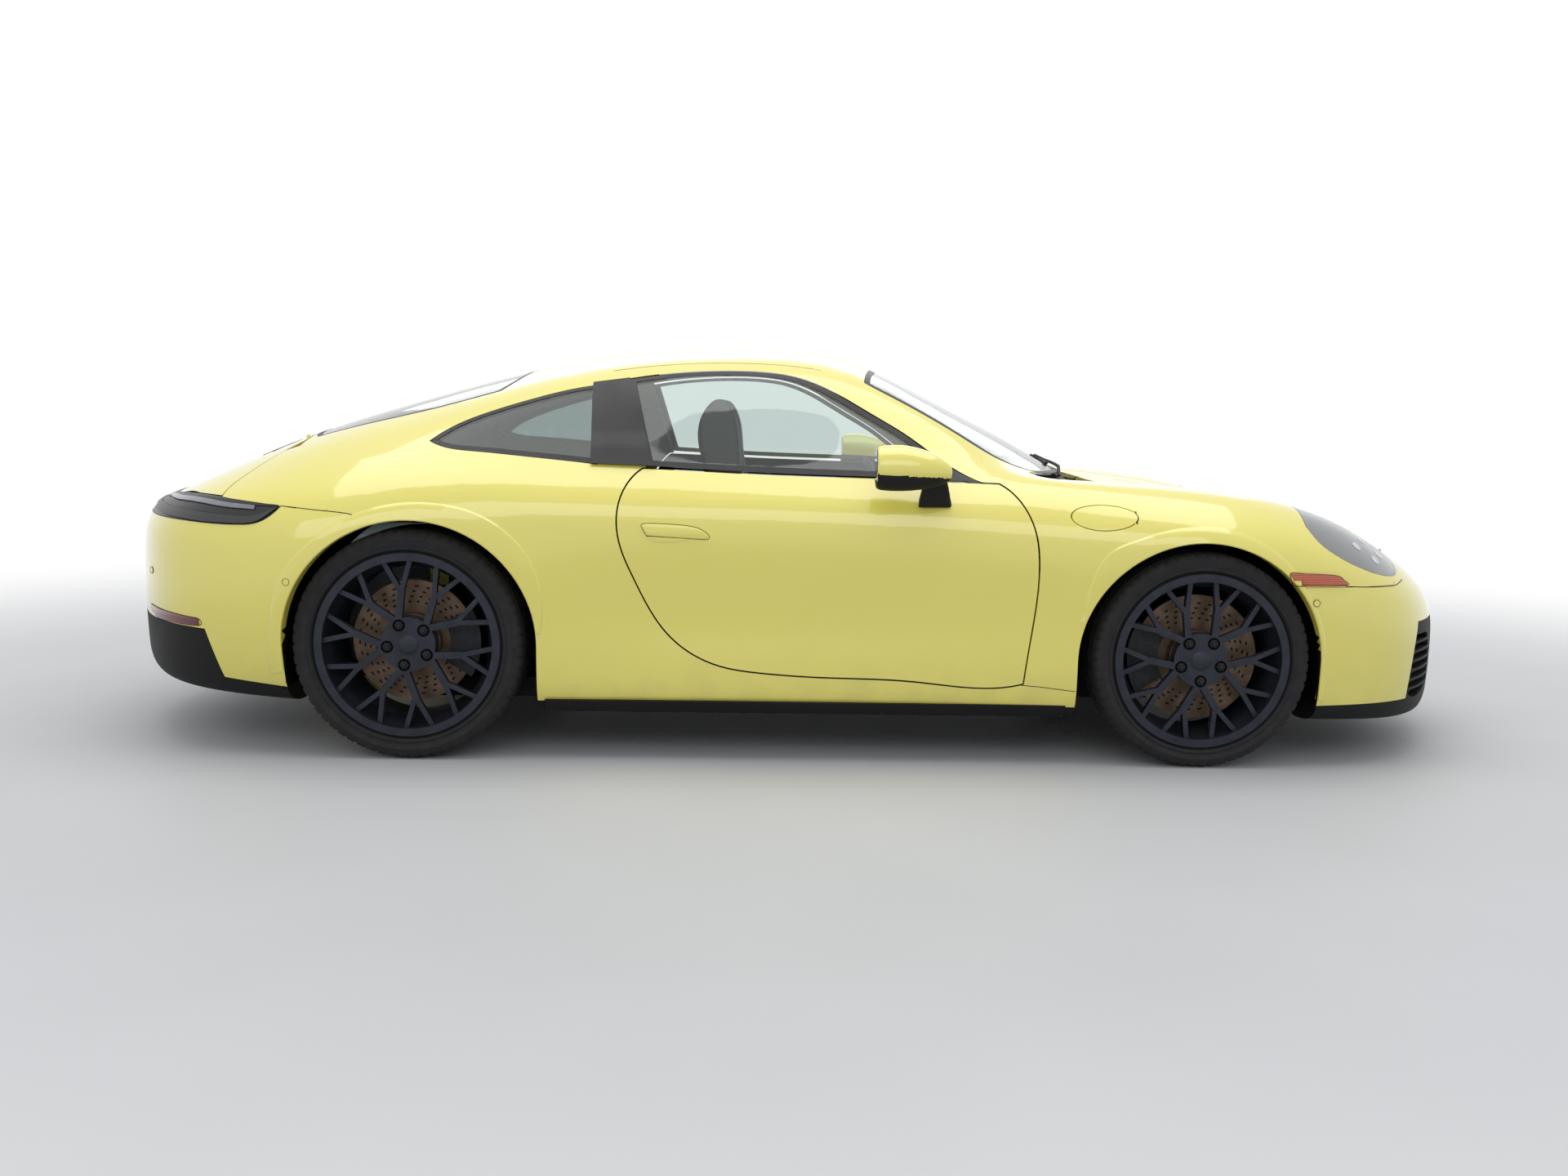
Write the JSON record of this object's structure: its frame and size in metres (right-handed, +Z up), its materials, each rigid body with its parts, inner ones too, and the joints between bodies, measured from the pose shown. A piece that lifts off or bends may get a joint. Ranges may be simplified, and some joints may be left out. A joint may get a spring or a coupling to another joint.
{
  "type": "coupe car",
  "caption": "Two-door coupe car with turning wheels, steered front wheels, opening doors, front and rear lids and a fuel flap",
  "frame": {"origin": "on the ground, midway between nose and tail and between the sides", "axes": "+X to the nose, +Y to the car's left, +Z up"},
  "size_m": [4.542, 2.0234, 1.3024],
  "materials": {
    "paint": "gloss pale yellow paint",
    "glass": "grey tint",
    "lamp_clear": "clear lens",
    "lamp_red": "smoked red lens",
    "black_plastic": "matt black",
    "dark_metal": "satin black",
    "cast": "cast",
    "steel": "brushed",
    "trim": "soft black",
    "leather": "black",
    "tyre": "black rubber",
    "wheel_paint": "satin dark blue-grey",
    "disc": "machined"
  },
  "bodies": {
    "body": {"body_shell": "paint", "front_bumper": "paint", "rear_bumper": "paint", "fender_r": "paint", "fender_l": "paint", "windscreen": "glass", "rear_window": "glass", "quarter_glass_r": "glass", "quarter_glass_l": "glass", "headlamp_r": "lamp_clear", "headlamp_l": "lamp_clear", "tail_lamp": "lamp_red", "chassis": "black_plastic", "front_lip": "black_plastic", "rear_apron": "black_plastic", "cowl": "black_plastic", "front_suspension": "dark_metal", "rear_suspension": "dark_metal", "engine": "cast", "exhaust": "steel", "dashboard": "trim", "console": "trim", "steering_wheel": "leather", "seat_r": "leather", "seat_l": "leather", "rear_seats": "leather"},
    "door_r_body": {"door_r": "paint", "door_glass_r": "glass", "mirror_r": "paint"},
    "steer_r": {"knuckle_r": "dark_metal"},
    "door_l_body": {"door_l": "paint", "door_glass_l": "glass", "mirror_l": "paint"},
    "steer_l": {"knuckle_l": "dark_metal"},
    "front_lid_body": {"front_lid": "paint"},
    "rear_lid_body": {"rear_lid": "paint"},
    "fuel_flap_body": {"fuel_flap": "paint"},
    "wheel_fr": {"rim_fr": "wheel_paint", "tyre_fr": "tyre", "disc_fr": "disc"},
    "wheel_fl": {"rim_fl": "wheel_paint", "tyre_fl": "tyre", "disc_fl": "disc"},
    "wheel_rr": {"rim_rr": "wheel_paint", "tyre_rr": "tyre", "disc_rr": "disc"},
    "wheel_rl": {"rim_rl": "wheel_paint", "tyre_rl": "tyre", "disc_rl": "disc"}
  },
  "joints": [
    {"name": "steer_r", "type": "hinge", "parent": "body", "child": "steer_r", "pos_m": [1.234, -0.72, 0.337], "axis": [0, 0, 1], "range_deg": [-33, 33]},
    {"name": "wheel_fr_spin", "type": "hinge", "parent": "steer_r", "child": "wheel_fr", "pos_m": [1.234, -0.77, 0.337], "axis": [0, 1, 0], "continuous": true},
    {"name": "wheel_rr_spin", "type": "hinge", "parent": "body", "child": "wheel_rr", "pos_m": [-1.216, -0.741, 0.356], "axis": [0, 1, 0], "continuous": true},
    {"name": "door_r_hinge", "type": "hinge", "parent": "body", "child": "door_r_body", "pos_m": [0.65, -0.884, 0.665], "axis": [0, 0, 1], "range_deg": [0, 60]},
    {"name": "steer_l", "type": "hinge", "parent": "body", "child": "steer_l", "pos_m": [1.234, 0.72, 0.337], "axis": [0, 0, 1], "range_deg": [-33, 33]},
    {"name": "wheel_fl_spin", "type": "hinge", "parent": "steer_l", "child": "wheel_fl", "pos_m": [1.234, 0.77, 0.337], "axis": [0, 1, 0], "continuous": true},
    {"name": "wheel_rl_spin", "type": "hinge", "parent": "body", "child": "wheel_rl", "pos_m": [-1.216, 0.741, 0.356], "axis": [0, 1, 0], "continuous": true},
    {"name": "door_l_hinge", "type": "hinge", "parent": "body", "child": "door_l_body", "pos_m": [0.65, 0.884, 0.665], "axis": [0, 0, -1], "range_deg": [0, 60]},
    {"name": "front_lid_hinge", "type": "hinge", "parent": "body", "child": "front_lid_body", "pos_m": [0.957, 0, 0.86803], "axis": [0, -1, 0], "range_deg": [0, 60]},
    {"name": "rear_lid_hinge", "type": "hinge", "parent": "body", "child": "rear_lid_body", "pos_m": [-1.668, 0, 0.9719], "axis": [0, 1, 0], "range_deg": [0, 55]},
    {"name": "fuel_flap_hinge", "type": "hinge", "parent": "body", "child": "fuel_flap_body", "pos_m": [1.008, -0.86838, 0.77625], "axis": [0, 0.6113, 0.7914], "range_deg": [0, 85]}
  ],
  "couplings": [
    {"joint": "steer_l", "follows": "steer_r", "ratio": 1}
  ]
}
